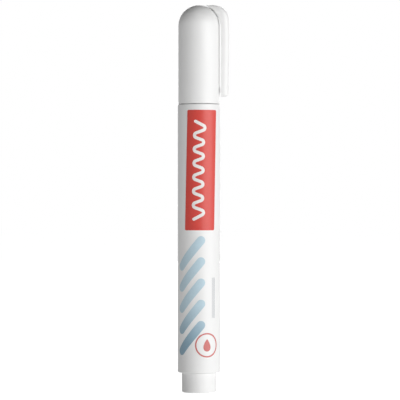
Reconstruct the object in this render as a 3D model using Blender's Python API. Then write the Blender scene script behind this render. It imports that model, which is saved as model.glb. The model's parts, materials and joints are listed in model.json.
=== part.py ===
"""Correction pen with a push-on cap, built from its separate pieces.

The pen stands on its tail with its axis on +Z and its pocket clip towards +X. Sizes are in metres.
"""

import math

import bmesh
import bpy
from mathutils import Matrix, Vector

# Roundness of the turned pieces
BODY_SIDES = 48
CORE_SIDES = 24
NEEDLE_SIDES = 20
CORNER_STEPS = 3
CORNER_ROOM = 0.49
DOME_STEPS = 9
SHARP_ANGLE = math.radians(35)
WELD = 0.0000001

# Clearances between the pieces
PRESS_GAP = 0.00005
SEAT_GAP = 0.00005
CAP_GAP = 0.0001
MOUTH_GAP = 0.00015
CLIP_GAP = 0.00016
NEEDLE_GAP = 0.00005
FLOW_GAP = 0.00025
SPRING_GAP = 0.00015
LABEL_GAP = 0.00005
SEAL_GAP = 0.0001

# Barrel, with the neck that the cap slides over
BARREL_DIAMETER = 0.0150
BARREL_LENGTH = 0.0947
BARREL_WALL = 0.0012
BARREL_EDGE = 0.0003
SHOULDER_THICKNESS = 0.0016
NECK_LENGTH = 0.0084
NECK_WALL = 0.0012
NECK_EDGE = 0.0003
BEAD_HEIGHT = 0.00017
BEAD_WIDTH = 0.0012
BEAD_RISE = 0.0038

# Tail plug, pressed into the rear of the barrel up to a ledge
TAIL_EXPOSED = 0.0071
TAIL_INSERT = 0.0085
TAIL_LEDGE = 0.00025
TAIL_STEP = 0.0004
TAIL_TAPER = 0.0001
TAIL_WALL = 0.0012
TAIL_FLOOR = 0.0020
TAIL_EDGE = 0.0004

# Sealing ribs on the tail plug and the tip holder
RIB_HEIGHT = 0.00012
RIB_WIDTH = 0.0006
RIB_COUNT = 2

# Red film on the front of the barrel
LABEL_WIDTH = 0.0111
LABEL_LENGTH = 0.0423
LABEL_THICKNESS = 0.0001
LABEL_DROP = 0.00215
LABEL_TURN = math.radians(10)
LABEL_SKEW = 0.00104
LABEL_STEPS = 20

# Tip holder, pressed into the neck
FLANGE_THICKNESS = 0.0011
FLANGE_INSET = 0.0002
CONE_LENGTH = 0.0080
NOSE_WALL = 0.0009
HOLDER_EDGE = 0.0003
SHANK_SKIRT = 0.0030

# Metal tip, pressed into the holder
TIP_ROOT = 0.0042
TIP_WALL = 0.00055
TIP_FLANGE_THICKNESS = 0.0008
TIP_FLANGE_OVERHANG = 0.0006
TIP_LENGTH = 0.0072
TIP_EDGE = 0.00015
ORIFICE_LENGTH = 0.0018
FRONT_WALL = 0.0003
NIB_WALL = 0.0004
NIB_TAPER = 0.0001
SHAFT_BORE_LENGTH = 0.0032

# Valve needle, spring and spring seat
PIN_DIAMETER = 0.0006
SHAFT_DIAMETER = 0.0012
NEEDLE_REACH = 0.0004
COLLAR_DROP = 0.0008
COLLAR_THICKNESS = 0.0008
NEEDLE_TAIL = 0.0075
WIRE_DIAMETER = 0.00035
SPRING_LENGTH = 0.0110
SPRING_TURNS = 8
SPRING_POINTS_PER_TURN = 10
SEAT_LEDGE = 0.0006
SEAT_THICKNESS = 0.0018
SEAT_SLOT_WIDTH = 0.0006
SEAT_SLOT_COUNT = 3

# Mixing ball
BALL_PLAY = 0.0018
BALL_SIDES = 24
BALL_RINGS = 14

# Cap, with a spigot inside its crown
CAP_INSET = 0.0002
CAP_WALL = 0.0011
CAP_EDGE = 0.00025
CAP_LEAD = 0.0003
DOME_HEIGHT = 0.0073
SPIGOT_DIAMETER = 0.0042
SPIGOT_LENGTH = 0.0036

# Inner cap and its seal
INNER_CAP_WALL = 0.0008
INNER_CAP_FLOOR = 0.0011
INNER_CAP_EDGE = 0.0003
LIP_OVERLAP = 0.0030
SOCKET_CLEARANCE = 0.0003
SEAL_THICKNESS = 0.0016
SEAL_EDGE = 0.0003

# Pocket clip, which stands off the cap, with a round back and a tongue in a slot in the crown
CLIP_WIDTH = 0.0042
CLIP_TIP_WIDTH = 0.0036
CLIP_SPACE = 0.0006
CLIP_TOP_SPACE = 0.0003
CLIP_ROOT_ANGLE = math.radians(25)
CLIP_TOP_REACH = 0.0031
CLIP_REACH = 0.0035
CLIP_TIP_REACH = 0.0031
CLIP_TIP_RISE = 0.0026
CLIP_BOW_RISE = 0.0245
CLIP_BOW_ROUND = 0.1
CLIP_TIP_ROUND = 0.0010
CLIP_SHOULDER = 0.0052
CLIP_ARM_DROP = 0.0001
CLIP_STEPS = 6
CLIP_SLICES = 5
BACK_TURN = math.radians(78)
BACK_CROWN = 0.0020
BACK_TOP_CROWN = 0.0005
BACK_TIP_CROWN = 0.0012
BUMP_RISE = 0.0046
BUMP_HALF = 0.0018
BUMP_GAP = 0.00015
BUMP_ROUND = 0.0012
TONGUE_START = 0.0008
TONGUE_WIDTH = 0.0026
TONGUE_FLOOR = 0.0006
TONGUE_THICKNESS = 0.0010
TONGUE_ROOF = 0.00078

# Radii from the outside in: barrel, tail plug, cap, neck and holder shank
barrel_r = BARREL_DIAMETER / 2
bore_r = barrel_r - BARREL_WALL
tail_bore_r = bore_r + TAIL_LEDGE
tail_rib_r = tail_bore_r - PRESS_GAP
tail_shank_r = tail_rib_r - RIB_HEIGHT
tail_button_r = tail_rib_r - TAIL_STEP
tail_foot_r = tail_button_r - TAIL_TAPER
tail_hollow_r = tail_foot_r - TAIL_WALL
cap_r = barrel_r - CAP_INSET
cap_bore_r = cap_r - CAP_WALL
bead_r = cap_bore_r - CAP_GAP
neck_r = bead_r - BEAD_HEIGHT
neck_bore_r = neck_r - NECK_WALL
holder_rib_r = neck_bore_r - PRESS_GAP
holder_shank_r = holder_rib_r - RIB_HEIGHT
flange_r = neck_r - FLANGE_INSET

# Radii from the inside out: needle, spring, tip, holder nose and inner cap
pin_r = PIN_DIAMETER / 2
shaft_r = SHAFT_DIAMETER / 2
orifice_r = pin_r + NEEDLE_GAP
shaft_bore_r = shaft_r + FLOW_GAP
spring_r = shaft_r + SPRING_GAP + WIRE_DIAMETER / 2
collar_r = spring_r + WIRE_DIAMETER / 2
chamber_r = collar_r + FLOW_GAP
seat_r = chamber_r + SEAT_LEDGE
tip_r = chamber_r + TIP_WALL
tip_front_r = shaft_bore_r + FRONT_WALL
nib_r = orifice_r + NIB_WALL
socket_r = tip_r + PRESS_GAP
tip_flange_r = socket_r + TIP_FLANGE_OVERHANG
nose_r = socket_r + NOSE_WALL
liner_bore_r = max(nose_r, tip_flange_r) + CAP_GAP
liner_r = liner_bore_r + INNER_CAP_WALL
spigot_r = SPIGOT_DIAMETER / 2
ball_r = tail_hollow_r - BALL_PLAY

# Heights from the tail up to the needle's point
barrel_z = TAIL_EXPOSED
ledge_z = barrel_z + TAIL_INSERT + SEAT_GAP
shoulder_z = barrel_z + BARREL_LENGTH
neck_z = shoulder_z + NECK_LENGTH
flange_z = neck_z + SEAT_GAP
cone_z = flange_z + FLANGE_THICKNESS
nose_z = cone_z + CONE_LENGTH
tip_flange_z = nose_z + SEAT_GAP
tip_body_z = tip_flange_z + TIP_FLANGE_THICKNESS
tip_z = tip_body_z + TIP_LENGTH
point_z = tip_z + NEEDLE_REACH

# Heights from the tip's orifice down through the valve
orifice_z = tip_z - ORIFICE_LENGTH
valve_z = orifice_z - (shaft_bore_r - orifice_r)
throat_z = valve_z - SHAFT_BORE_LENGTH
chamber_z = throat_z - (chamber_r - shaft_bore_r)
root_z = tip_flange_z - TIP_ROOT
collar_z = chamber_z - COLLAR_DROP
spring_top_z = collar_z - COLLAR_THICKNESS - SEAT_GAP
spring_z = spring_top_z - SPRING_LENGTH
seat_top_z = spring_z - SEAT_GAP
seat_z = seat_top_z - SEAT_THICKNESS
shank_z = seat_z - SHANK_SKIRT

# Heights from the needle's point up through the cap
mouth_z = shoulder_z + MOUTH_GAP
seal_z = point_z + SEAL_GAP
seal_top_z = seal_z + SEAL_THICKNESS
liner_floor_z = seal_top_z + SEAT_GAP
spigot_z = liner_floor_z + INNER_CAP_FLOOR + SEAT_GAP
ceiling_z = spigot_z + SPIGOT_LENGTH
tongue_z = ceiling_z + TONGUE_FLOOR + CLIP_GAP
tongue_top_z = tongue_z + TONGUE_THICKNESS
crown_z = tongue_top_z + CLIP_GAP + TONGUE_ROOF
dome_z = crown_z - DOME_HEIGHT
roof_x = cap_r * math.sqrt(1 - ((tongue_top_z - dome_z) / DOME_HEIGHT) ** 2)
hinge_x = (TONGUE_START + roof_x) / 2
hinge_z = (tongue_z + tongue_top_z) / 2

# Plastic and metal finishes: colour, roughness and metallic
WHITE_PLASTIC = ((0.86, 0.86, 0.85), 0.30, 0.0)
NATURAL_PLASTIC = ((0.80, 0.81, 0.79), 0.45, 0.0)
RED_FILM = ((0.66, 0.058, 0.043), 0.40, 0.0)
SEAL_RUBBER = ((0.42, 0.43, 0.44), 0.70, 0.0)
NICKEL = ((0.66, 0.64, 0.60), 0.22, 1.0)
STEEL = ((0.56, 0.57, 0.58), 0.28, 1.0)


def clear_scene():
    """Remove every object that is already in the scene."""
    for item in list(bpy.data.objects):
        bpy.data.objects.remove(item, do_unlink=True)


def group(name, place, parent=None):
    """An empty at a place on the pen that carries the pieces of one body."""
    empty = bpy.data.objects.new(name, None)
    bpy.context.collection.objects.link(empty)
    empty.location = Vector(place)
    if parent is not None:
        empty.parent = parent
        empty.location -= pen_place(parent)
    return empty


def pen_place(empty):
    """Where a group's empty lies on the pen."""
    place = empty.location.copy()
    while empty.parent is not None:
        empty = empty.parent
        place += empty.location
    return place


def finish(name, look):
    """A plain material with the given colour, roughness and metallic."""
    colour, roughness, metallic = look
    material = bpy.data.materials.new(name)
    material.use_nodes = True
    shader = material.node_tree.nodes["Principled BSDF"]
    shader.inputs["Base Color"].default_value = (*colour, 1.0)
    shader.inputs["Roughness"].default_value = roughness
    shader.inputs["Metallic"].default_value = metallic
    return material


def add_piece(name, data, carrier, look):
    """A named piece of the pen, hung on the group that carries it."""
    item = bpy.data.objects.new(name, data)
    bpy.context.collection.objects.link(item)
    item.parent = carrier
    data.materials.append(finish(name + "_finish", look))
    return item


def add_cutter(name, data, carrier):
    """A hidden solid that only shapes another piece."""
    item = bpy.data.objects.new(name, data)
    bpy.context.collection.objects.link(item)
    item.parent = carrier
    item.hide_render = True
    item.display_type = "WIRE"
    return item


def cut(item, cutter):
    """Take a cutter's solid out of a piece."""
    boolean = item.modifiers.new("cut_" + cutter.name, "BOOLEAN")
    boolean.operation = "DIFFERENCE"
    boolean.solver = "EXACT"
    boolean.object = cutter


def finish_mesh(name, bm, carrier):
    """Close a mesh under construction and move it to its group's own origin."""
    bmesh.ops.remove_doubles(bm, verts=bm.verts, dist=WELD)
    bmesh.ops.recalc_face_normals(bm, faces=bm.faces)
    mesh = bpy.data.meshes.new(name)
    bm.to_mesh(mesh)
    bm.free()
    mesh.transform(Matrix.Translation(-pen_place(carrier)))
    mesh.shade_smooth()
    mesh.set_sharp_from_angle(angle=SHARP_ANGLE)
    return mesh


def rounded(corners, steps=CORNER_STEPS):
    """An outline's points, with an arc at each corner that gives a rounding as its third value."""
    points = []
    for index, corner in enumerate(corners):
        here = Vector(corner[:2])
        if len(corner) < 3:
            points.append(here)
            continue
        back = Vector(corners[index - 1][:2]) - here
        ahead = Vector(corners[(index + 1) % len(corners)][:2]) - here
        half = back.angle(ahead) / 2
        reach = min(corner[2] / math.tan(half), CORNER_ROOM * back.length, CORNER_ROOM * ahead.length)
        radius = reach * math.tan(half)
        centre = here + (back.normalized() + ahead.normalized()).normalized() * radius / math.sin(half)
        start = here + back.normalized() * reach - centre
        sweep = math.pi - 2 * half
        turn = -1 if back.x * ahead.y - back.y * ahead.x > 0 else 1
        for step in range(steps + 1):
            angle = turn * sweep * step / steps
            arm = Vector((start.x * math.cos(angle) - start.y * math.sin(angle),
                          start.x * math.sin(angle) + start.y * math.cos(angle)))
            points.append(centre + arm)
    return points


def ring_ribs(shank_r, rib_r, low_z, high_z):
    """Corners of the sealing ribs between two heights of a shank."""
    corners = []
    for rib in range(RIB_COUNT):
        middle = low_z + (high_z - low_z) * (rib + 1) / (RIB_COUNT + 1)
        corners += [(shank_r, middle - RIB_WIDTH / 2), (rib_r, middle), (shank_r, middle + RIB_WIDTH / 2)]
    return corners


def ellipse(radius, rise, base_z, low, high):
    """Corners along a quarter ellipse between two angles above its base."""
    angles = [low + (high - low) * step / DOME_STEPS for step in range(DOME_STEPS + 1)]
    return [(radius * math.cos(angle), base_z + rise * math.sin(angle)) for angle in angles]


def turned(name, corners, sides, carrier):
    """The solid that an outline of radii and heights makes when it turns about the pen's axis."""
    points = rounded(corners)
    bm = bmesh.new()
    verts = [bm.verts.new((point.x, 0, point.y)) for point in points]
    edges = [bm.edges.new(pair) for pair in zip(verts, verts[1:])]
    if points[0].x > 0:
        edges.append(bm.edges.new((verts[-1], verts[0])))
    bmesh.ops.spin(bm, geom=verts + edges, cent=(0, 0, 0), axis=(0, 0, 1), angle=2 * math.pi,
                   steps=sides, use_merge=True)
    return finish_mesh(name, bm, carrier)


def prism(name, points, half, carrier):
    """The solid between two copies of a side view, half its width to each side of the clip's plane."""
    bm = bmesh.new()
    near = [bm.verts.new((point.x, -half, point.y)) for point in points]
    far = [bm.verts.new((point.x, half, point.y)) for point in points]
    for index in range(len(points)):
        bm.faces.new((near[index - 1], near[index], far[index], far[index - 1]))
    bm.faces.new(near)
    bm.faces.new(reversed(far))
    return finish_mesh(name, bm, carrier)


def box(name, low, high, carrier, turn=0.0):
    """A box between two corners, turned about the pen's axis."""
    low = Vector(low)
    high = Vector(high)
    bm = bmesh.new()
    bmesh.ops.create_cube(bm, size=1.0)
    bmesh.ops.scale(bm, vec=high - low, verts=bm.verts)
    bmesh.ops.translate(bm, vec=(low + high) / 2, verts=bm.verts)
    bmesh.ops.rotate(bm, cent=(0, 0, 0), matrix=Matrix.Rotation(turn, 3, "Z"), verts=bm.verts)
    return finish_mesh(name, bm, carrier)


def make_barrel(body):
    """Tube with a bead on its neck and a ledge inside its rear end."""
    bead_z = shoulder_z + BEAD_RISE
    throat_r = bore_r - neck_bore_r
    corners = [
        (tail_bore_r, barrel_z),
        (barrel_r, barrel_z, BARREL_EDGE),
        (barrel_r, shoulder_z, BARREL_EDGE),
        (neck_r, shoulder_z),
        (neck_r, bead_z - BEAD_WIDTH / 2),
        (bead_r, bead_z),
        (neck_r, bead_z + BEAD_WIDTH / 2),
        (neck_r, neck_z, NECK_EDGE),
        (neck_bore_r, neck_z),
        (neck_bore_r, shoulder_z - SHOULDER_THICKNESS),
        (bore_r, shoulder_z - SHOULDER_THICKNESS - throat_r),
        (bore_r, ledge_z),
        (tail_bore_r, ledge_z),
    ]
    add_piece("barrel", turned("barrel", corners, BODY_SIDES, body), body, WHITE_PLASTIC)


def make_tail_plug(body):
    """Hollow plug that closes the barrel and that the pen stands on."""
    step_z = barrel_z + BARREL_EDGE
    top_z = ledge_z - SEAT_GAP
    corners = [(0, 0), (tail_foot_r, 0, TAIL_EDGE), (tail_button_r, step_z), (tail_shank_r, step_z)]
    corners += ring_ribs(tail_shank_r, tail_rib_r, step_z, top_z)
    corners += [
        (tail_shank_r, top_z),
        (tail_hollow_r, top_z),
        (tail_hollow_r, TAIL_FLOOR, TAIL_EDGE),
        (0, TAIL_FLOOR),
    ]
    add_piece("tail_plug", turned("tail_plug", corners, BODY_SIDES, body), body, WHITE_PLASTIC)


def make_label(body):
    """Red film around the front of the barrel, slightly askew to it."""
    inner = barrel_r + LABEL_GAP
    outer = inner + LABEL_THICKNESS
    top_z = shoulder_z - LABEL_DROP
    low_z = top_z - LABEL_LENGTH
    spread = LABEL_WIDTH / barrel_r
    lean = LABEL_SKEW / barrel_r / 2
    rims = [(inner, low_z, -lean), (outer, low_z, -lean), (outer, top_z, lean), (inner, top_z, lean)]
    bm = bmesh.new()
    sections = []
    for step in range(LABEL_STEPS + 1):
        section = []
        for radius, height, shift in rims:
            angle = LABEL_TURN + shift + spread * (step / LABEL_STEPS - 0.5)
            section.append(bm.verts.new((radius * math.sin(angle), -radius * math.cos(angle), height)))
        sections.append(section)
    for here, there in zip(sections, sections[1:]):
        for side in range(len(rims)):
            bm.faces.new((here[side - 1], here[side], there[side], there[side - 1]))
    bm.faces.new(sections[0])
    bm.faces.new(reversed(sections[-1]))
    add_piece("label_panel", finish_mesh("label_panel", bm, body), body, RED_FILM)


def make_tip_holder(body):
    """Nozzle with a ribbed shank in the neck, a flange on it and a cone that carries the metal tip."""
    corners = [(holder_shank_r, shank_z, HOLDER_EDGE)]
    corners += ring_ribs(holder_shank_r, holder_rib_r, shank_z, flange_z)
    corners += [
        (holder_shank_r, flange_z),
        (flange_r, flange_z),
        (flange_r, cone_z, HOLDER_EDGE),
        (neck_bore_r, cone_z),
        (nose_r, nose_z, HOLDER_EDGE),
        (socket_r, nose_z),
        (socket_r, root_z - SEAT_GAP),
        (chamber_r, root_z - SEAT_GAP),
        (chamber_r, seat_top_z + SEAT_GAP),
        (seat_r + PRESS_GAP, seat_top_z + SEAT_GAP),
        (seat_r + PRESS_GAP, shank_z),
    ]
    add_piece("tip_holder", turned("tip_holder", corners, CORE_SIDES, body), body, WHITE_PLASTIC)


def make_metal_tip(body):
    """Turned tip with a fine orifice at its end and the valve's seat behind it."""
    corners = [
        (chamber_r, root_z),
        (tip_r, root_z, TIP_EDGE),
        (tip_r, tip_flange_z),
        (tip_flange_r, tip_flange_z),
        (tip_flange_r, tip_body_z, TIP_EDGE),
        (tip_r, tip_body_z),
        (tip_r, chamber_z),
        (tip_front_r, valve_z),
        (nib_r, orifice_z),
        (nib_r - NIB_TAPER, tip_z, TIP_EDGE),
        (orifice_r, tip_z),
        (orifice_r, orifice_z),
        (shaft_bore_r, valve_z),
        (shaft_bore_r, throat_z),
        (chamber_r, chamber_z),
    ]
    add_piece("metal_tip", turned("metal_tip", corners, CORE_SIDES, body), body, NICKEL)


def make_spring_seat(body):
    """Ring with slots for the fluid, pressed into the holder under the spring."""
    corners = [(shaft_bore_r, seat_z), (seat_r, seat_z), (seat_r, seat_top_z), (shaft_bore_r, seat_top_z)]
    seat = add_piece("spring_seat", turned("spring_seat", corners, CORE_SIDES, body), body, NATURAL_PLASTIC)
    for slot in range(SEAT_SLOT_COUNT):
        low = (0, -SEAT_SLOT_WIDTH / 2, seat_z - SEAT_THICKNESS)
        high = (chamber_r, SEAT_SLOT_WIDTH / 2, seat_top_z + SEAT_THICKNESS)
        name = f"seat_slot_{slot + 1}"
        turn = 2 * math.pi * slot / SEAT_SLOT_COUNT
        cut(seat, add_cutter(name, box(name, low, high, body, turn), body))


def make_spring(body):
    """Open coil spring between the seat and the needle's collar."""
    wire_r = WIRE_DIAMETER / 2
    rise = SPRING_LENGTH - WIRE_DIAMETER
    count = SPRING_TURNS * SPRING_POINTS_PER_TURN
    path = []
    for index in range(count + 1):
        angle = 2 * math.pi * index / SPRING_POINTS_PER_TURN
        height = spring_z + wire_r + rise * index / count
        path.append(Vector((spring_r * math.cos(angle), spring_r * math.sin(angle), height)))
    apart = SPRING_POINTS_PER_TURN // 2
    least = min((far - near).length for index, near in enumerate(path) for far in path[index + apart:])
    print(f"valve_spring least gap to itself {(least - WIRE_DIAMETER) * 1000:.2f} mm")
    curve = bpy.data.curves.new("valve_spring", "CURVE")
    curve.dimensions = "3D"
    curve.bevel_depth = wire_r
    curve.bevel_resolution = 1
    curve.use_fill_caps = True
    spline = curve.splines.new("POLY")
    spline.points.add(count)
    for point, place in zip(spline.points, path):
        point.co = (*(place - pen_place(body)), 1.0)
    add_piece("valve_spring", curve, body, STEEL)


def make_needle(needle):
    """Needle whose cone shuts the orifice, with a collar for the spring."""
    face_z = orifice_z - NEEDLE_GAP
    collar_low_z = collar_z - COLLAR_THICKNESS
    corners = [
        (0, collar_low_z - NEEDLE_TAIL),
        (shaft_r, collar_low_z - NEEDLE_TAIL),
        (shaft_r, collar_low_z),
        (collar_r, collar_low_z),
        (collar_r, collar_z),
        (shaft_r, collar_z),
        (shaft_r, face_z - (shaft_r - pin_r)),
        (pin_r, face_z),
        (pin_r, point_z, pin_r / 2),
        (0, point_z),
    ]
    add_piece("valve_needle", turned("valve_needle", corners, NEEDLE_SIDES, needle), needle, STEEL)


def make_ball(ball):
    """Steel ball at rest on the floor of the tail plug."""
    bm = bmesh.new()
    bmesh.ops.create_uvsphere(bm, u_segments=BALL_SIDES, v_segments=BALL_RINGS, radius=ball_r)
    bmesh.ops.translate(bm, vec=pen_place(ball), verts=bm.verts)
    add_piece("mixing_ball", finish_mesh("mixing_ball", bm, ball), ball, STEEL)


def make_cap_shell(cap):
    """Cap with a domed crown, a spigot inside it and a slot for the clip's tongue."""
    inner_rise = ceiling_z - dome_z
    corners = [(0, spigot_z), (spigot_r, spigot_z)]
    corners += ellipse(cap_bore_r, inner_rise, dome_z, math.acos(spigot_r / cap_bore_r), 0)
    corners += [
        (cap_bore_r, mouth_z + CAP_LEAD),
        (cap_bore_r + CAP_LEAD, mouth_z),
        (cap_r, mouth_z, CAP_EDGE),
    ]
    corners += ellipse(cap_r, DOME_HEIGHT, dome_z, 0, math.pi / 2)
    corners[-1] = (0, crown_z)
    shell = add_piece("cap_shell", turned("cap_shell", corners, BODY_SIDES, cap), cap, WHITE_PLASTIC)
    half = TONGUE_WIDTH / 2 + CLIP_GAP
    low = (TONGUE_START - CLIP_GAP, -half, tongue_z - CLIP_GAP)
    high = (cap_r, half, tongue_top_z + CLIP_GAP)
    cut(shell, add_cutter("tongue_slot", box("tongue_slot", low, high, cap), cap))


def make_inner_cap(cap):
    """Liner that hangs on the spigot and closes over the holder's nose."""
    lip_z = nose_z - LIP_OVERLAP
    lip_r = liner_bore_r + (neck_bore_r - nose_r) * LIP_OVERLAP / CONE_LENGTH
    collar_bore_r = spigot_r + PRESS_GAP
    grip_r = collar_bore_r + INNER_CAP_WALL
    inner_rise = ceiling_z - dome_z
    collar_top_z = dome_z + inner_rise * math.sqrt(1 - (grip_r / cap_bore_r) ** 2) - SOCKET_CLEARANCE
    shelf_z = liner_floor_z + INNER_CAP_FLOOR
    corners = [
        (0, liner_floor_z),
        (liner_bore_r, liner_floor_z),
        (liner_bore_r, nose_z),
        (lip_r, lip_z),
        (lip_r + INNER_CAP_WALL, lip_z, INNER_CAP_EDGE),
        (liner_r, nose_z),
        (liner_r, shelf_z, INNER_CAP_EDGE),
        (grip_r, shelf_z),
        (grip_r, collar_top_z),
        (collar_bore_r, collar_top_z),
        (collar_bore_r, shelf_z),
        (0, shelf_z),
    ]
    add_piece("inner_cap", turned("inner_cap", corners, CORE_SIDES, cap), cap, NATURAL_PLASTIC)


def make_tip_seal(cap):
    """Soft pad in the liner, over the needle's point."""
    pad_r = liner_bore_r - PRESS_GAP
    corners = [(0, seal_z), (pad_r, seal_z, SEAL_EDGE), (pad_r, seal_top_z), (0, seal_top_z)]
    add_piece("tip_seal", turned("tip_seal", corners, CORE_SIDES, cap), cap, SEAL_RUBBER)


def clip_outline(fall):
    """Side view of the clip's block, drawn in by the fall of its round back."""
    inset = BACK_CROWN * fall
    low_z = mouth_z + CLIP_TIP_RISE + BACK_TIP_CROWN * fall
    high_z = crown_z - CLIP_ARM_DROP - BACK_TOP_CROWN * fall
    corners = [
        (0, low_z),
        (cap_r + CLIP_TIP_REACH - inset, low_z, CLIP_TIP_ROUND),
        (cap_r + CLIP_REACH - inset, mouth_z + CLIP_BOW_RISE, CLIP_BOW_ROUND),
        (cap_r + CLIP_TOP_REACH - inset, high_z, CLIP_SHOULDER - inset),
        (0, high_z),
    ]
    return rounded(corners, CLIP_STEPS)


def make_clip(clip):
    """Clip that leaves the crown with a tongue in it, follows the cap and ends in a bump near its wall."""
    bm = bmesh.new()
    slices = []
    for step in range(-CLIP_SLICES, CLIP_SLICES + 1):
        angle = BACK_TURN * step / CLIP_SLICES
        across = math.sin(angle) / math.sin(BACK_TURN) / 2
        verts = []
        for point in clip_outline(1 - math.cos(angle)):
            share = (point.y - mouth_z) / (crown_z - mouth_z)
            width = CLIP_TIP_WIDTH + (CLIP_WIDTH - CLIP_TIP_WIDTH) * share
            verts.append(bm.verts.new((point.x, across * width, point.y)))
        slices.append(verts)
    for here, there in zip(slices, slices[1:]):
        for index in range(len(here)):
            bm.faces.new((here[index - 1], here[index], there[index], there[index - 1]))
    bm.faces.new(slices[0])
    bm.faces.new(reversed(slices[-1]))
    item = add_piece("pocket_clip", finish_mesh("pocket_clip", bm, clip), clip, WHITE_PLASTIC)
    cut(item, make_cap_space(clip))


def make_cap_space(clip):
    """The room that the clip leaves for the cap: all of it but the tongue, and less of it at the bump."""
    bump_z = mouth_z + BUMP_RISE
    corners = [
        (-cap_r, mouth_z),
        (cap_r + CLIP_SPACE, mouth_z),
        (cap_r + CLIP_SPACE, bump_z - BUMP_HALF),
        (cap_r + BUMP_GAP, bump_z, BUMP_ROUND),
        (cap_r + CLIP_SPACE, bump_z + BUMP_HALF),
        (cap_r + CLIP_SPACE, dome_z),
    ]
    roof_r = cap_r + CLIP_TOP_SPACE
    corners += ellipse(roof_r, DOME_HEIGHT + CLIP_TOP_SPACE, dome_z, CLIP_ROOT_ANGLE, math.pi / 2)
    corners.append((-cap_r, crown_z + CLIP_TOP_SPACE))
    space = add_cutter("cap_space", prism("cap_space", rounded(corners), CLIP_WIDTH, clip), clip)
    low = (TONGUE_START, -TONGUE_WIDTH / 2, tongue_z)
    high = (cap_r, TONGUE_WIDTH / 2, tongue_top_z)
    cut(space, add_cutter("tongue_space", box("tongue_space", low, high, clip), clip))
    return space


clear_scene()
pen_group = group("pen_axis", (0, 0, 0))
needle_group = group("needle_axis", (0, 0, tip_z), pen_group)
ball_group = group("ball_axis", (0, 0, TAIL_FLOOR + SEAT_GAP + ball_r), pen_group)
cap_group = group("cap_axis", (0, 0, mouth_z), pen_group)
clip_group = group("clip_axis", (hinge_x, 0, hinge_z), cap_group)
make_barrel(pen_group)
make_tail_plug(pen_group)
make_label(pen_group)
make_tip_holder(pen_group)
make_metal_tip(pen_group)
make_spring_seat(pen_group)
make_spring(pen_group)
make_needle(needle_group)
make_ball(ball_group)
make_cap_shell(cap_group)
make_inner_cap(cap_group)
make_tip_seal(cap_group)
make_clip(clip_group)
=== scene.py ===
"""Looks of a correction pen: fine surfaces, print, floor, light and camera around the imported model.

The frame is in metres. The pen stands on its tail on +Z, with its clip towards +X.
"""

import json
import math

import bmesh
import bpy
from mathutils import Matrix, Vector


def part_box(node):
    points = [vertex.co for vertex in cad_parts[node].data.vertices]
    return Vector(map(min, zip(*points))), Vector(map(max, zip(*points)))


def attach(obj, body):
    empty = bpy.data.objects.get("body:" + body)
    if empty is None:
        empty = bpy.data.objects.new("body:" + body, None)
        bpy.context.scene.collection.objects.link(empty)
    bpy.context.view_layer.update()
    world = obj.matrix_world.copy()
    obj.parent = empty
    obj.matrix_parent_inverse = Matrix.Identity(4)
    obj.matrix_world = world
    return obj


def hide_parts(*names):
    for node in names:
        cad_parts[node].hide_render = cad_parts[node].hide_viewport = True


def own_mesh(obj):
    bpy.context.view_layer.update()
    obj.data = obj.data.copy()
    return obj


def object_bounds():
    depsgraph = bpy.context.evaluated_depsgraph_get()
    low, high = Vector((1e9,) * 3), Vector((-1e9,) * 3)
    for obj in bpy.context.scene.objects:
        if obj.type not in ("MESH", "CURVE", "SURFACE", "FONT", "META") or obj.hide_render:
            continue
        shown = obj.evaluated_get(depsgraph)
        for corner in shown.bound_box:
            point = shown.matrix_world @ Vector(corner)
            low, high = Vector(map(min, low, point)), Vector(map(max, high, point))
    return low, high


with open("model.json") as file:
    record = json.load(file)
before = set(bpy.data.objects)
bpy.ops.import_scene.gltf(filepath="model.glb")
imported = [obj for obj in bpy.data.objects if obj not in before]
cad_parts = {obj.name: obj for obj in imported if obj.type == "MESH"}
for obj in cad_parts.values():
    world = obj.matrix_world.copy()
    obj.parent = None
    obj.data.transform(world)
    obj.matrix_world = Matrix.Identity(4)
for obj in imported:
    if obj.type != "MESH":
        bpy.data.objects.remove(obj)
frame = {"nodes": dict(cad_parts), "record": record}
cad_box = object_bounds()

# Where the pen lies in the photograph, in pixels
PHOTO_SIDE_PX = 400
PEN_TOP_PX = 5.2
PEN_FOOT_PX = 392.0
PEN_AXIS_PX = 199.0

# Camera
VIEW_AZIMUTH = math.radians(4)
LENS_MM = 200
SENSOR_MM = 36

# Floor and light
FLOOR_RADIUS = 4.0
FLOOR_SIDES = 96
FLOOR_SEEN = 0.95
FLOOR_LIGHT = 0.70
# Painted shadow in the floor's glow: where it sits behind the pen, how far it reaches and how dim it gets
SHADE_LIGHT = 0.30
SHADE_START = 0.012
SHADE_END = 0.045
SHADE_TURN = math.radians(-125)
SHADE_OFFSET = 0.030
WORLD_SEEN = 1.0
WORLD_HORIZON = 0.32
WORLD_ZENITH = 0.09
WORLD_TOP = 0.5
LIGHT_DISTANCE = 1.6
LIGHT_HEIGHT = 0.95
KEY_TURN = math.radians(48)
KEY_RISE = math.radians(4)
KEY_WIDTH = 1.6
KEY_POWER = 27.0
BACK_LIGHT_TURN = math.radians(175)
BACK_LIGHT_RISE = math.radians(12)
BACK_LIGHT_WIDTH = 0.9
BACK_LIGHT_POWER = 11.0

# Fineness of the surfaces
SIDES = 144
ARC_STEP = math.radians(12)
GENTLE_TURN = math.radians(40)
FLAT_TURN = math.radians(0.5)
SHARP_ANGLE = math.radians(50)
EDGE_SOFTNESS = 0.00010
FULL_ROUND_SHARE = 0.49
SHARP_ROUND_SHARE = 0.3
WELD = 0.0000002
ON_PLANE = 0.000001
SPOT_DIGITS = 7

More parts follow.
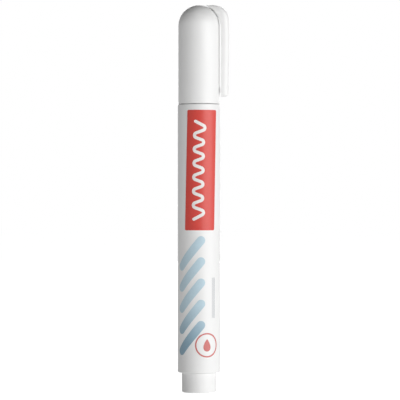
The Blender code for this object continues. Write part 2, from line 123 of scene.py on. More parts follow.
# Pocket clip, and the slot in the crown that holds its tongue
CLIP_GAP = 0.00016
CLIP_WIDTH = 0.0042
CLIP_TIP_WIDTH = 0.0036
CLIP_SPACE = 0.0006
CLIP_TOP_SPACE = 0.0003
CLIP_ROOT_ANGLE = math.radians(25)
CLIP_TOP_REACH = 0.0031
CLIP_REACH = 0.0035
CLIP_TIP_REACH = 0.0031
CLIP_BOW_RISE = 0.0245
CLIP_BOW_ROUND = 0.1
CLIP_TIP_ROUND = 0.0010
CLIP_SHOULDER = 0.0052
CLIP_SLICES = 12
BACK_TURN = math.radians(78)
BACK_CROWN = 0.0020
BACK_TOP_CROWN = 0.0005
BACK_TIP_CROWN = 0.0012
BUMP_RISE = 0.0046
BUMP_HALF = 0.0018
BUMP_GAP = 0.00015
BUMP_ROUND = 0.0012
TONGUE_WIDTH = 0.0026
TONGUE_THICKNESS = 0.0010
TONGUE_ROOF = 0.00078
WEB_SPACE = 0.00010
WEB_LOW_ANGLE = math.radians(22)
WEB_HIGH_ANGLE = math.radians(48)
DOME_HEIGHT = 0.0073
DOME_STEPS = 24

# Valve spring
WIRE_DIAMETER = 0.00035
WIRE_ROUNDING = 3
SPRING_TURNS = 8
SPRING_POINTS_PER_TURN = 24

# Printed skins, as heights above the barrel's wall
FILM_FOOT = 0.00001
FILM_THICKNESS = 0.00009
FILM_CORNER = 0.0005
FILM_COLUMNS = 64
INK_THICKNESS = 0.00003
INK_COLUMNS = 8
CORNER_ROWS = 6

# Print: a white stroke on the red film, slanted bars, a ring with a drop, and thin lines
STROKE_TOP_PX = 122
STROKE_FOOT_PX = 219
STROKE_AXIS_PX = 198.5
STROKE_LEAN = 0.0006
STROKE_SWING = 0.0033
STROKE_TURNS = 14
STROKE_END = 0.4
STROKE_ROUND = 0.0009
STROKE_WIDTH = 0.0011
BAR_LEFT_PX = 182.0
BAR_RIGHT_PX = 201.0
BAR_FOOT_PX = 350.0
BAR_FADE_PX = 300.0
BAR_TOP_PX = 240.0
BAR_RISE_PX = 26.0
BAR_COUNT = 5
BAR_WIDTH = 0.0030
RING_PX = (207.0, 344.0)
RING_RADIUS = 0.0043
RING_WIDTH = 0.0005
RING_ROWS = 96
DROP_WIDTH = 0.0027
DROP_HEIGHT = 0.0044
DROP_PEAK = 0.385
DROP_ROWS = 40
LINE_PX = (212.0, 277.0, 317.0)
LINE_WIDTH = 0.00014
LINE_PITCH = 0.0005
LINE_COUNT = 3
PATH_STEP = 0.0004

# Colours
WHITE = (0.84, 0.84, 0.835)
NATURAL = (0.80, 0.81, 0.79)
RED = (0.66, 0.058, 0.043)
INK_WHITE = (0.86, 0.83, 0.81)
INK_RED = (0.60, 0.16, 0.15)
INK_GREY = (0.42, 0.44, 0.47)
DEEP_BLUE = (0.24, 0.38, 0.48)
PALE_BLUE = (0.50, 0.65, 0.73)
NICKEL = (0.70, 0.68, 0.64)
STEEL = (0.58, 0.59, 0.60)
DARK_RUBBER = (0.36, 0.37, 0.38)
PALE_RUBBER = (0.46, 0.47, 0.48)
DARK_FLOOR = (0.33, 0.33, 0.33)
PALE_FLOOR = (0.37, 0.37, 0.37)
PURE_WHITE = (1.0, 1.0, 1.0)

# What the materials share: the range of most noise, the print, and the rings of a turning tool
NOISE_LOW = 0.3
NOISE_HIGH = 0.7
INK_ROUGHNESS = 0.4
INK_CLOUD = 0.0009
WAVE_RATE = 20
RING_WAVER = 0.4

# Sockets of a Mix node that mixes colours
MIX_SHARE = 0
MIX_FIRST = 6
MIX_SECOND = 7
MIX_RESULT = 2

# Sizes and places, read from the frame
barrel_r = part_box("barrel")[1].x
cap_low, cap_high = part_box("cap_shell")
cap_r = cap_high.x
clip_low, clip_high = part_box("pocket_clip")
label_low, label_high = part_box("label_panel")
spring_low, spring_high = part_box("valve_spring")
tongue_top = cap_high.z - TONGUE_ROOF - CLIP_GAP
pen_length = cad_box[1].z - cad_box[0].z
metres_per_px = pen_length / (PEN_FOOT_PX - PEN_TOP_PX)
body_of = {node: body for body, nodes in frame["record"]["behaviour"]["bodies"].items() for node in nodes}


def towards(azimuth, elevation=0.0):
    """The direction from the pen to a place at an azimuth and an elevation."""
    level = math.cos(elevation)
    return Vector((math.sin(azimuth) * level, -math.cos(azimuth) * level, math.sin(elevation)))


def photo_height(pixel):
    """Height on the pen of a row of the photograph."""
    return cad_box[0].z + (PEN_FOOT_PX - pixel) * metres_per_px


def photo_arc(pixel):
    """Arc length along the barrel's front of a column of the photograph."""
    return barrel_r * math.asin((pixel - PEN_AXIS_PX) * metres_per_px / barrel_r)


class Look:
    """A material under construction, with short calls for the nodes that the looks share."""

    def __init__(self, name, **constants):
        self.material = bpy.data.materials.new(name)
        self.material.use_nodes = True
        self.tree = self.material.node_tree
        self.shader = self.tree.nodes["Principled BSDF"]
        for socket, value in constants.items():
            self.shader.inputs[socket.replace("_", " ")].default_value = value
        self.place = self.add("ShaderNodeTexCoord").outputs["Object"]

    def add(self, kind, **settings):
        node = self.tree.nodes.new(kind)
        for setting, value in settings.items():
            setattr(node, setting, value)
        return node

    def put(self, socket, value):
        """Link a socket to another, or set it to a constant."""
        if isinstance(value, bpy.types.NodeSocket):
            self.tree.links.new(value, socket)
        else:
            socket.default_value = value

    def feed(self, name, value):
        self.put(self.shader.inputs[name], value)

    def span(self, value, low, high, to_low=0.0, to_high=1.0, smooth=False):
        """Map a value from one range to another, held at its ends."""
        node = self.add("ShaderNodeMapRange", interpolation_type="SMOOTHSTEP" if smooth else "LINEAR")
        for socket, part in zip(node.inputs, (value, low, high, to_low, to_high)):
            self.put(socket, part)
        return node.outputs[0]

    def mix(self, share, first, second):
        """A colour between two others."""
        node = self.add("ShaderNodeMix", data_type="RGBA")
        for index, value in ((MIX_SHARE, share), (MIX_FIRST, first), (MIX_SECOND, second)):
            self.put(node.inputs[index], value)
        return node.outputs[MIX_RESULT]

    def tint(self, share, colour, low, high):
        """A colour between a darker and a lighter shade of itself."""
        return self.mix(share, shade(colour, low), shade(colour, high))

    def roughen(self, share, roughness, less, more, low=NOISE_LOW, high=NOISE_HIGH):
        """Roughness that goes from a little less to a little more than a value."""
        self.feed("Roughness", self.span(share, low, high, roughness - less, roughness + more))

    def noise(self, size, detail=2.0, stretch=None):
        """Noise whose features are about the given size in metres."""
        place = self.place
        if stretch:
            scaled = self.add("ShaderNodeMapping")
            self.put(scaled.inputs["Vector"], place)
            scaled.inputs["Scale"].default_value = stretch
            place = scaled.outputs["Vector"]
        node = self.add("ShaderNodeTexNoise")
        self.put(node.inputs["Vector"], place)
        node.inputs["Scale"].default_value = 1 / size
        node.inputs["Detail"].default_value = detail
        return node.outputs[0]

    def rings(self, size):
        """Fine rings along the pen's axis, as a turning tool leaves, sized by a radian of their wave."""
        node = self.add("ShaderNodeTexWave", bands_direction="Z")
        self.put(node.inputs["Vector"], self.place)
        node.inputs["Scale"].default_value = 1 / (WAVE_RATE * size)
        node.inputs["Distortion"].default_value = RING_WAVER
        return node.outputs["Fac"]

    def bump(self, height, depth, strength):
        """Small relief of the surface, with its depth in metres."""
        node = self.add("ShaderNodeBump")
        node.inputs["Strength"].default_value = strength
        node.inputs["Distance"].default_value = depth
        self.put(node.inputs["Height"], height)
        self.feed("Normal", node.outputs["Normal"])

    def height(self):
        """Height on the pen in metres."""
        parts = self.add("ShaderNodeSeparateXYZ")
        self.put(parts.inputs[0], self.place)
        return parts.outputs["Z"]


def shade(colour, factor=1.0):
    """A colour made lighter or darker, with full alpha."""
    return tuple(part * factor for part in colour) + (1.0,)


def moulded(name, colour, roughness, variation):
    """Injection-moulded plastic: slow clouds in its colour, and a fine grain in its gloss and surface."""
    look = Look(name, IOR=1.49)
    clouds = look.noise(size=0.011, detail=3.0)
    grain = look.noise(size=0.00028)
    handling = look.noise(size=0.004, detail=4.0, stretch=(1.0, 1.0, 0.35))
    look.feed("Base Color", look.tint(clouds, colour, low=1 - variation, high=1 + variation))
    look.roughen(handling, roughness, less=0.05, more=0.06)
    look.bump(grain, depth=0.000012, strength=0.5)
    return look


def ink(name, colour):
    """Flat print whose density varies a little, as ink does on plastic."""
    look = Look(name)
    density = look.noise(size=INK_CLOUD, detail=4.0)
    tooth = look.noise(size=0.00012)
    look.feed("Base Color", look.tint(density, colour, low=0.93, high=1.06))
    look.roughen(tooth, INK_ROUGHNESS, less=0.04, more=0.06)
    look.bump(tooth, depth=0.000004, strength=0.4)
    return look


def faded_ink(name, low_colour, high_colour, low, high):
    """Print that goes from one colour to another with its height."""
    look = ink(name, low_colour)
    density = look.noise(size=INK_CLOUD, detail=4.0)
    deep = look.shader.inputs["Base Color"].links[0].from_socket
    pale = look.tint(density, high_colour, low=0.95, high=1.05)
    look.feed("Base Color", look.mix(look.span(look.height(), low, high, smooth=True), deep, pale))
    return look


def metal(name, colour, roughness, ring_size):
    """Bright metal with the fine rings of a turning tool."""
    look = Look(name, Metallic=1.0)
    rings = look.rings(ring_size)
    smear = look.noise(size=0.0015, detail=3.0)
    look.feed("Base Color", look.tint(smear, colour, low=0.92, high=1.05))
    look.roughen(rings, roughness, less=0.04, more=0.08, low=0.0, high=1.0)
    look.bump(rings, depth=0.000006, strength=0.35)
    return look


def rubber(name):
    """Soft matt rubber with a fine grain."""
    look = Look(name, Sheen_Weight=0.15)
    grain = look.noise(size=0.00025, detail=3.0)
    look.feed("Base Color", look.mix(grain, shade(DARK_RUBBER), shade(PALE_RUBBER)))
    look.roughen(grain, roughness=0.7, less=0.08, more=0.1)
    look.bump(grain, depth=0.00002, strength=0.6)
    return look


white_plastic = moulded("white_plastic", WHITE, roughness=0.44, variation=0.02)
natural_plastic = moulded("natural_plastic", NATURAL, roughness=0.48, variation=0.03)
red_film = ink("red_film", RED)
white_ink = ink("white_ink", INK_WHITE)
red_ink = ink("red_ink", INK_RED)
grey_ink = ink("grey_ink", INK_GREY)
blue_ink = faded_ink("blue_ink", DEEP_BLUE, PALE_BLUE, photo_height(BAR_FOOT_PX), photo_height(BAR_FADE_PX))
nickel = metal("nickel", NICKEL, roughness=0.2, ring_size=0.00012)
steel = metal("steel", STEEL, roughness=0.26, ring_size=0.00018)
seal_rubber = rubber("seal_rubber")


def smooth(mesh):
    """Shade a mesh smooth, apart from its sharp edges."""
    mesh.shade_smooth()
    mesh.set_sharp_from_angle(angle=SHARP_ANGLE)


def add_piece(name, bm):
    """A named object from a mesh under construction, with its faces closed and turned out."""
    bmesh.ops.remove_doubles(bm, verts=bm.verts, dist=WELD)
    bmesh.ops.dissolve_degenerate(bm, edges=bm.edges, dist=WELD)
    bmesh.ops.recalc_face_normals(bm, faces=bm.faces)
    mesh = bpy.data.meshes.new(name)
    bm.to_mesh(mesh)
    bm.free()
    smooth(mesh)
    item = bpy.data.objects.new(name, mesh)
    bpy.context.scene.collection.objects.link(item)
    return item


def settle(item):
    """Turn an object's modifiers into its own mesh."""
    bpy.context.view_layer.update()
    seen = item.evaluated_get(bpy.context.evaluated_depsgraph_get())
    mesh = bpy.data.meshes.new_from_object(seen)
    item.modifiers.clear()
    item.data = mesh
    smooth(mesh)


def cut(item, cutter):
    """Take a cutter's solid out of a piece, and remove the cutter."""
    boolean = item.modifiers.new("cut", "BOOLEAN")
    boolean.operation = "DIFFERENCE"
    boolean.solver = "EXACT"
    boolean.object = cutter
    settle(item)
    bpy.data.objects.remove(cutter)


def dress(item, look, slot, body, *nodes):
    """Give a piece its material, the body that it rides on and the nodes that it stands for; the slot
    argument is not used.
    """
    item.data.materials.clear()
    item.data.materials.append(look.material)
    if nodes:
        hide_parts(*nodes)
    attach(item, body)


def outline(node):
    """Corners of a turned node's outline as radius and height, in order, and whether they make a loop.

    The flat ends of a solid node have no corner in their middle, so one is added on the pen's axis.
    """
    mesh = frame["nodes"][node].data
    spots = {}
    for vertex in mesh.vertices:
        if abs(vertex.co.y) < ON_PLANE and vertex.co.x < ON_PLANE:
            spots[vertex.index] = (round(-vertex.co.x, SPOT_DIGITS), round(vertex.co.z, SPOT_DIGITS))
    links = {}
    for edge in mesh.edges:
        here, there = (spots.get(index) for index in edge.vertices)
        if here and there and here != there:
            links.setdefault(here, set()).add(there)
            links.setdefault(there, set()).add(here)
    ends = [spot for spot, others in links.items() if len(others) == 1]
    walk = [min(ends or links)]
    ahead = links[walk[0]]
    while ahead:
        walk.append(min(ahead))
        ahead = links[walk[-1]] - set(walk)
    if ends and walk[0][0] > 0:
        walk.insert(0, (0.0, walk[0][1]))
    if ends and walk[-1][0] > 0:
        walk.append((0.0, walk[-1][1]))
    return walk, not ends


def arc(here, back, ahead, reach):
    """Points of the arc that meets both sides of a corner at the given reach."""
    half = back.angle(ahead) / 2
    radius = reach * math.tan(half)
    inward = (back.normalized() + ahead.normalized()).normalized()
    centre = here + inward * radius / math.sin(half)
    start = here + back.normalized() * reach - centre
    sweep = math.pi - 2 * half
    if back.cross(ahead) > 0:
        sweep = -sweep
    steps = max(2, math.ceil(abs(sweep) / ARC_STEP))
    return [centre + Matrix.Rotation(sweep * step / steps, 2) @ start for step in range(steps + 1)]


def softened(corners, closed):
    """An outline with its corners rounded: by a third value where one is given, fully on a gentle turn,
    and by a small radius on a sharp one."""
    points = []
    for index, corner in enumerate(corners):
        here = Vector(corner[:2])
        if not closed and index in (0, len(corners) - 1):
            points.append(here)
            continue
        back = Vector(corners[index - 1][:2]) - here
        ahead = Vector(corners[(index + 1) % len(corners)][:2]) - here
        half = back.angle(ahead) / 2
        turn = math.pi - 2 * half
        room = min(back.length, ahead.length)
        if turn < FLAT_TURN:
            points.append(here)
        elif len(corner) == 3:
            points += arc(here, back, ahead, min(corner[2] / math.tan(half), FULL_ROUND_SHARE * room))
        elif turn < GENTLE_TURN:
            points += arc(here, back, ahead, FULL_ROUND_SHARE * room)
        else:
            points += arc(here, back, ahead, min(EDGE_SOFTNESS / math.tan(half), SHARP_ROUND_SHARE * room))
    return points


def turned(name, points, closed):
    """The solid that an outline makes when it turns about the pen's axis."""
    bm = bmesh.new()
    verts = [bm.verts.new((point.x, 0, point.y)) for point in points]
    edges = [bm.edges.new(pair) for pair in zip(verts, verts[1:])]
    if closed:
        edges.append(bm.edges.new((verts[-1], verts[0])))
    bmesh.ops.spin(bm, geom=verts + edges, cent=(0, 0, 0), axis=(0, 0, 1), angle=2 * math.pi,
                   steps=SIDES, use_merge=True)
    return add_piece(name, bm)


def fine_copy(name, node):
    """A finer solid with the outline of a turned node."""
    corners, closed = outline(node)
    return turned(name, softened(corners, closed), closed)


def block(name, low, high):
    """A box between two corners, to cut with."""
    low = Vector(low)
    high = Vector(high)
    bm = bmesh.new()
    bmesh.ops.create_cube(bm, size=1.0)
    bmesh.ops.scale(bm, vec=high - low, verts=bm.verts)
    bmesh.ops.translate(bm, vec=(low + high) / 2, verts=bm.verts)
    return add_piece(name, bm)


def tongue_block(name, gap):
    """The clip's tongue, with a gap around it."""
    half = TONGUE_WIDTH / 2 + gap
    low = (clip_low.x - gap, -half, tongue_top - TONGUE_THICKNESS - gap)
    return block(name, low, (cap_r, half, tongue_top + gap))


def make_cap():
    """Domed cap with the slot that holds the clip's tongue."""
    shell = fine_copy("cap_dome", "cap_shell")
    cut(shell, tongue_block("tongue_slot", CLIP_GAP))
    dress(shell, white_plastic, "white_plastic", body_of["cap_shell"], "cap_shell")


def prism(name, points, half):
    """The solid between two copies of a side view, half its width to each side of the clip's plane."""
    bm = bmesh.new()
    near, far = ([bm.verts.new((point.x, side, point.y)) for point in points] for side in (-half, half))
    for index in range(len(points)):
        bm.faces.new((near[index - 1], near[index], far[index], far[index - 1]))
    bm.faces.new(near)
    bm.faces.new(reversed(far))
    return add_piece(name, bm)


def dome_points(space, low, high):
    """Points at a distance from the dome's side view, from one angle of its rise to another."""
    points = []
    for step in range(DOME_STEPS + 1):
        angle = low + (high - low) * step / DOME_STEPS
        rise = (DOME_HEIGHT + space) * math.sin(angle)
        points.append(((cap_r + space) * math.cos(angle), cap_high.z - DOME_HEIGHT + rise))
    return points


def root_web():
    """Web under the clip's tongue, which fills most of the seam between the clip and the dome."""
    inner = dome_points(WEB_SPACE, WEB_LOW_ANGLE, WEB_HIGH_ANGLE)
    outer = dome_points(CLIP_SPACE, WEB_LOW_ANGLE, WEB_HIGH_ANGLE)
    return prism("root_web", [Vector(point) for point in inner + outer[::-1]], TONGUE_WIDTH / 2)


def cap_space():
    """The room that the clip leaves for the cap: all but the tongue and its web, and less at the bump."""
    bump_z = cap_low.z + BUMP_RISE
    corners = [
        (-cap_r, cap_low.z),
        (cap_r + CLIP_SPACE, cap_low.z),
        (cap_r + CLIP_SPACE, bump_z - BUMP_HALF, BUMP_ROUND),
        (cap_r + BUMP_GAP, bump_z, BUMP_ROUND),
        (cap_r + CLIP_SPACE, bump_z + BUMP_HALF, BUMP_ROUND),
        (cap_r + CLIP_SPACE, cap_high.z - DOME_HEIGHT, CLIP_SHOULDER),
    ]
    corners += dome_points(CLIP_TOP_SPACE, CLIP_ROOT_ANGLE, math.pi / 2)
    corners.append((-cap_r, cap_high.z + CLIP_TOP_SPACE))
    space = prism("cap_space", softened(corners, True), CLIP_WIDTH)
    cut(space, tongue_block("tongue_space", 0.0))
    cut(space, root_web())
    return space


def clip_outline(fall):
    """Side view of the clip's block, drawn in by the fall of its round back."""
    inset = BACK_CROWN * fall
    low_z = clip_low.z + BACK_TIP_CROWN * fall
    high_z = clip_high.z - BACK_TOP_CROWN * fall
    corners = [
        (0, low_z),
        (cap_r + CLIP_TIP_REACH - inset, low_z, CLIP_TIP_ROUND),
        (cap_r + CLIP_REACH - inset, cap_low.z + CLIP_BOW_RISE, CLIP_BOW_ROUND),
        (cap_r + CLIP_TOP_REACH - inset, high_z, CLIP_SHOULDER - inset),
        (0, high_z),
    ]
    return softened(corners, True)


def make_clip():
    """Clip that leaves the crown with a tongue in it, follows the cap and ends in a bump near its wall."""
    bm = bmesh.new()
    slices = []
    for step in range(-CLIP_SLICES, CLIP_SLICES + 1):
        angle = BACK_TURN * step / CLIP_SLICES
        across = math.sin(angle) / math.sin(BACK_TURN) / 2
        verts = []
        for point in clip_outline(1 - math.cos(angle)):
            share = (point.y - cap_low.z) / (cap_high.z - cap_low.z)
            width = CLIP_TIP_WIDTH + (CLIP_WIDTH - CLIP_TIP_WIDTH) * share
            verts.append(bm.verts.new((point.x, across * width, point.y)))
        slices.append(verts)
    for here, there in zip(slices, slices[1:]):
        for index in range(len(here)):
            bm.faces.new((here[index - 1], here[index], there[index], there[index - 1]))
    bm.faces.new(slices[0])
    bm.faces.new(reversed(slices[-1]))
    item = add_piece("clip_arm", bm)
    cut(item, cap_space())
    dress(item, white_plastic, "white_plastic", body_of["pocket_clip"], "pocket_clip")


def make_spring():
    """Coil of the valve spring that the needle presses on, made as it stands at rest."""
    wire_r = WIRE_DIAMETER / 2
    coil_r = spring_high.x - wire_r
    low_z = spring_low.z + wire_r
    rise = spring_high.z - wire_r - low_z
    count = SPRING_TURNS * SPRING_POINTS_PER_TURN
    curve = bpy.data.curves.new("coil_wire", "CURVE")
    curve.dimensions = "3D"
    curve.bevel_depth = wire_r
    curve.bevel_resolution = WIRE_ROUNDING
    curve.use_fill_caps = True
    spline = curve.splines.new("POLY")
    spline.points.add(count)
    for index, point in enumerate(spline.points):
        angle = 2 * math.pi * index / SPRING_POINTS_PER_TURN
        point.co = (coil_r * math.cos(angle), coil_r * math.sin(angle), low_z + rise * index / count, 1.0)
    source = bpy.data.objects.new("coil_source", curve)
    bpy.context.scene.collection.objects.link(source)
    bpy.context.view_layer.update()
    mesh = bpy.data.meshes.new_from_object(source.evaluated_get(bpy.context.evaluated_depsgraph_get()))
    bpy.data.objects.remove(source)
    bm = bmesh.new()
    bm.from_mesh(mesh)
    item = add_piece("coil_wire", bm)
    dress(item, steel, "steel", body_of["valve_spring"], "valve_spring")
    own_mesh(item)


def on_barrel(radius, arc_length, height):
    """A point on a cylinder about the pen's axis, at an arc length from the line that faces the camera."""
    return towards(VIEW_AZIMUTH + arc_length / barrel_r) * radius + Vector((0, 0, height))


def skin(name, rows, low, thickness, columns, closed=False):
    """A thin closed skin on the barrel between the left and right end of each row, low above its wall."""
    bm = bmesh.new()
    layers = []
    for radius in (barrel_r + low, barrel_r + low + thickness):
        grid = []
        for left, right in rows:
            places = [Vector(left).lerp(Vector(right), step / columns) for step in range(columns + 1)]
            grid.append([bm.verts.new(on_barrel(radius, *place)) for place in places])
        layers.append(grid)
    under, over = layers
    for index in range(0 if closed else 1, len(rows)):
        for step in range(columns):
            for grid in layers:
                bm.faces.new((grid[index - 1][step], grid[index - 1][step + 1],
                              grid[index][step + 1], grid[index][step]))
        for end in (0, -1):
            bm.faces.new((under[index - 1][end], under[index][end], over[index][end], over[index - 1][end]))
    if not closed:
        for row in (0, -1):
            for step in range(columns):
                bm.faces.new((under[row][step], under[row][step + 1], over[row][step + 1], over[row][step]))
    return add_piece(name, bm)


def label_rows():
    """Rows of the red film between the edges of its node, with rounded corners."""
    mesh = frame["nodes"]["label_panel"].data
    ends = []
    for level in (label_low.z, label_high.z):
        rim = [v.co for v in mesh.vertices if abs(v.co.z - level) < ON_PLANE]
        arcs = [(math.atan2(co.x, -co.y) - VIEW_AZIMUTH) * barrel_r for co in rim]
        ends.append((Vector((min(arcs), level)), Vector((max(arcs), level))))
    length = label_high.z - label_low.z
    turns = [math.pi / 2 * step / CORNER_ROWS for step in range(CORNER_ROWS + 1)]
    drops = [FILM_CORNER * (1 - math.cos(turn)) for turn in turns]
    rows = []
    for rise in drops + [length - drop for drop in reversed(drops)]:
        corner = max(0.0, FILM_CORNER - min(rise, length - rise))
        inset = FILM_CORNER - math.sqrt(FILM_CORNER ** 2 - corner ** 2)
        left, right = (ends[0][side].lerp(ends[1][side], rise / length) for side in (0, 1))
        rows.append((left + Vector((inset, 0)), right - Vector((inset, 0))))
    return rows


def stroke_rows():
    """Rows across a zigzag stroke with round turns and ends, as a pen of fluid leaves."""
    foot, top = photo_height(STROKE_FOOT_PX), photo_height(STROKE_TOP_PX)
    corners = []
    for index in range(STROKE_TURNS + 1):
        share = index / STROKE_TURNS
        swing = STROKE_SWING * (STROKE_END if index in (0, STROKE_TURNS) else 1)
        side = swing if index % 2 else -swing
        spot = (photo_arc(STROKE_AXIS_PX) + side + STROKE_LEAN * (share - 0.5), foot + (top - foot) * share)
        corners.append(spot + (STROKE_ROUND,))
    return swept(softened(corners, False), STROKE_WIDTH / 2)


def bar_rows(index):
    """Rows across one of the slanted bars, counted from the lowest."""
    pitch = (BAR_FOOT_PX - BAR_RISE_PX - BAR_TOP_PX) / (BAR_COUNT - 1)
    left = BAR_FOOT_PX - pitch * index
    start = Vector((photo_arc(BAR_LEFT_PX), photo_height(left)))
    end = Vector((photo_arc(BAR_RIGHT_PX), photo_height(left - BAR_RISE_PX)))
    return swept([start, end], BAR_WIDTH / 2)


def evenly(path):
    """A path with points added, so that none are far apart."""
    points = path[:1]
    for here, there in zip(path, path[1:]):
        count = max(1, math.ceil((there - here).length / PATH_STEP))
        points += [here.lerp(there, step / count) for step in range(1, count + 1)]
    return points


def swept(path, half):
    """Rows across a stroke of even width along a path, with round ends."""
    path = evenly(path)
    ways = [(after - before).normalized() for before, after in zip(path, path[1:])]
    rows = []
    for index, spot in enumerate(path):
        along = (ways[max(0, index - 1)] + ways[min(index, len(ways) - 1)]).normalized()
        side = Vector((along.y, -along.x)) * half
        rows.append((spot - side, spot + side))
    for end, way, order in ((path[0], -ways[0], 1), (path[-1], ways[-1], -1)):
        tip = []
        for step in range(CORNER_ROWS):
            angle = math.pi / 2 * step / CORNER_ROWS
            side = Vector((way.y, -way.x)) * half * math.sin(angle) * -order
            spot = end + way * half * math.cos(angle)
            tip.append((spot - side, spot + side))
        rows = tip + rows if order == 1 else rows + tip[::-1]
    return rows


def ring_rows(centre):
    """Rows across a plain ring."""
    rows = []
    for index in range(RING_ROWS):
        angle = 2 * math.pi * index / RING_ROWS
        way = Vector((math.cos(angle), math.sin(angle)))
        rows.append((centre + way * (RING_RADIUS - RING_WIDTH), centre + way * RING_RADIUS))
    return rows


def drop_rows(centre):
    """Rows across a drop with a round foot and a pointed top."""
    foot = centre - Vector((0, DROP_HEIGHT / 2))
    rows = []
    for index in range(DROP_ROWS + 1):
        share = (1 - math.cos(math.pi * index / DROP_ROWS)) / 2
        rise = DROP_HEIGHT * share
        width = DROP_WIDTH * math.sqrt(share) * (1 - share) / DROP_PEAK
        spot = foot + Vector((0, rise))
        rows.append((spot - Vector((width / 2, 0)), spot + Vector((width / 2, 0))))
    return rows


def make_print():
    """The red film and everything that is printed on it and on the barrel."""
    body = body_of["barrel"]
    film = skin("film", label_rows(), FILM_FOOT, FILM_THICKNESS, FILM_COLUMNS)
    dress(film, red_film, "red_film", body_of["label_panel"], "label_panel")
    stroke = skin("stroke_print", stroke_rows(), FILM_FOOT + FILM_THICKNESS, INK_THICKNESS, INK_COLUMNS)
    dress(stroke, white_ink, None, body)
    for index in range(BAR_COUNT):
        bar = skin(f"bar_print_{index + 1}", bar_rows(index), FILM_FOOT, INK_THICKNESS, INK_COLUMNS)
        dress(bar, blue_ink, None, body)
    centre = Vector((photo_arc(RING_PX[0]), photo_height(RING_PX[1])))
    ring = skin("ring_print", ring_rows(centre), FILM_FOOT, INK_THICKNESS, INK_COLUMNS, closed=True)
    dress(ring, red_ink, None, body)
    drop = skin("drop_print", drop_rows(centre), FILM_FOOT, INK_THICKNESS, INK_COLUMNS)
    dress(drop, red_ink, None, body)
    column, top, foot = LINE_PX
    for index in range(LINE_COUNT):
        left = photo_arc(column) + LINE_PITCH * index
        rows = [(Vector((left, photo_height(row))), Vector((left + LINE_WIDTH, photo_height(row))))
                for row in (foot, top)]
        line = skin(f"line_print_{index + 1}", rows, FILM_FOOT, INK_THICKNESS, INK_COLUMNS)
        dress(line, grey_ink, None, body)


def make_floor():
    """Wide pale floor that glows, less so in a painted shadow behind the pen, and looks white to the
    camera.
    """
    bm = bmesh.new()
    bmesh.ops.create_circle(bm, cap_ends=True, segments=FLOOR_SIDES, radius=FLOOR_RADIUS)
    floor = add_piece("floor", bm)
    floor.location.z = cad_box[0].z
    look = Look("pale_floor", Roughness=0.9, Emission_Color=shade(PURE_WHITE))
    seen = look.add("ShaderNodeLightPath").outputs["Is Camera Ray"]
    # Painted shadow: the floor's glow is dimmed around a spot behind the pen
    away = look.add("ShaderNodeVectorMath", operation="DISTANCE")
    look.put(away.inputs[0], look.place)
    look.put(away.inputs[1], towards(VIEW_AZIMUTH + SHADE_TURN) * SHADE_OFFSET)
    glow = look.span(away.outputs["Value"], SHADE_START, SHADE_END, SHADE_LIGHT, FLOOR_LIGHT, smooth=True)
    look.feed("Emission Strength", look.span(seen, 0.0, 1.0, glow, FLOOR_SEEN))
    clouds = look.noise(size=0.3)
    look.feed("Base Color", look.mix(clouds, shade(DARK_FLOOR), shade(PALE_FLOOR)))
    floor.data.materials.append(look.material)


def make_world():
    """White surroundings that light the pen only softly, and less from overhead."""
    world = bpy.data.worlds.new("studio")
    bpy.context.scene.world = world
    world.use_nodes = True
    nodes = world.node_tree.nodes
    links = world.node_tree.links
    soft = nodes["Background"]
    way = nodes.new("ShaderNodeSeparateXYZ")
    links.new(nodes.new("ShaderNodeTexCoord").outputs["Generated"], way.inputs[0])
    fall = nodes.new("ShaderNodeMapRange")
    links.new(way.outputs["Z"], fall.inputs["Value"])
    fall.inputs["From Max"].default_value = WORLD_TOP
    fall.inputs["To Min"].default_value = WORLD_HORIZON
    fall.inputs["To Max"].default_value = WORLD_ZENITH
    links.new(fall.outputs["Result"], soft.inputs["Strength"])
    seen = nodes.new("ShaderNodeBackground")
    seen.inputs["Strength"].default_value = WORLD_SEEN
    for background in (soft, seen):
        background.inputs["Color"].default_value = shade(PURE_WHITE)
    blend = nodes.new("ShaderNodeMixShader")
    links.new(nodes.new("ShaderNodeLightPath").outputs["Is Camera Ray"], blend.inputs["Fac"])
    links.new(soft.outputs["Background"], blend.inputs[1])
    links.new(seen.outputs["Background"], blend.inputs[2])
    links.new(blend.outputs["Shader"], nodes["World Output"].inputs["Surface"])


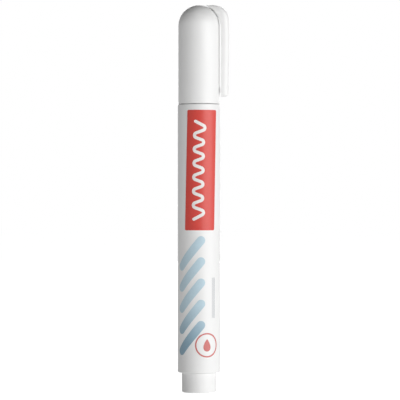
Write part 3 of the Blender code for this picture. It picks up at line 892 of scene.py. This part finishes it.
def make_light(name, turn, rise, width, power):
    """Wide soft light at a turn to the right of the camera, facing the middle of the pen."""
    data = bpy.data.lights.new(name, "AREA")
    data.shape = "RECTANGLE"
    data.size = width
    data.size_y = LIGHT_HEIGHT
    data.energy = power
    light = bpy.data.objects.new(name, data)
    bpy.context.scene.collection.objects.link(light)
    way = towards(VIEW_AZIMUTH + turn, rise)
    light.location = Vector((0, 0, pen_length / 2)) + way * LIGHT_DISTANCE
    light.rotation_euler = way.to_track_quat("Z", "Y").to_euler()


def make_camera():
    """Camera that frames the pen as the photograph does."""
    data = bpy.data.cameras.new("camera")
    data.lens = LENS_MM
    data.sensor_width = SENSOR_MM
    camera = bpy.data.objects.new("camera", data)
    bpy.context.scene.collection.objects.link(camera)
    distance = PHOTO_SIDE_PX * metres_per_px * LENS_MM / SENSOR_MM
    way = towards(VIEW_AZIMUTH)
    right = towards(VIEW_AZIMUTH + math.pi / 2)
    middle = PHOTO_SIDE_PX / 2
    aim = right * (middle - PEN_AXIS_PX) * metres_per_px + Vector((0, 0, photo_height(middle)))
    camera.location = aim + way * distance
    camera.rotation_euler = way.to_track_quat("Z", "Y").to_euler()
    bpy.context.scene.camera = camera


# Turned pieces: name, node, material and slot
TURNED = [
    ("barrel_wall", "barrel", white_plastic, "white_plastic"),
    ("tail_button", "tail_plug", white_plastic, "white_plastic"),
    ("nozzle", "tip_holder", white_plastic, "white_plastic"),
    ("tip_sleeve", "metal_tip", nickel, "nickel"),
    ("needle_pin", "valve_needle", steel, "steel"),
    ("cap_liner", "inner_cap", natural_plastic, "natural_plastic"),
    ("seal_pad", "tip_seal", seal_rubber, "seal_rubber"),
]
for piece_name, node_name, piece_look, slot_name in TURNED:
    dress(fine_copy(piece_name, node_name), piece_look, slot_name, body_of[node_name], node_name)
make_cap()
make_clip()
make_spring()
make_print()
for node_name, node_look in (("spring_seat", natural_plastic), ("mixing_ball", steel)):
    slots = frame["nodes"][node_name].data.materials
    slots.clear()
    slots.append(node_look.material)

make_floor()
make_world()
make_light("key", KEY_TURN, KEY_RISE, KEY_WIDTH, KEY_POWER)
make_light("back_light", BACK_LIGHT_TURN, BACK_LIGHT_RISE, BACK_LIGHT_WIDTH, BACK_LIGHT_POWER)
make_camera()
bpy.context.scene.view_settings.view_transform = "Standard"
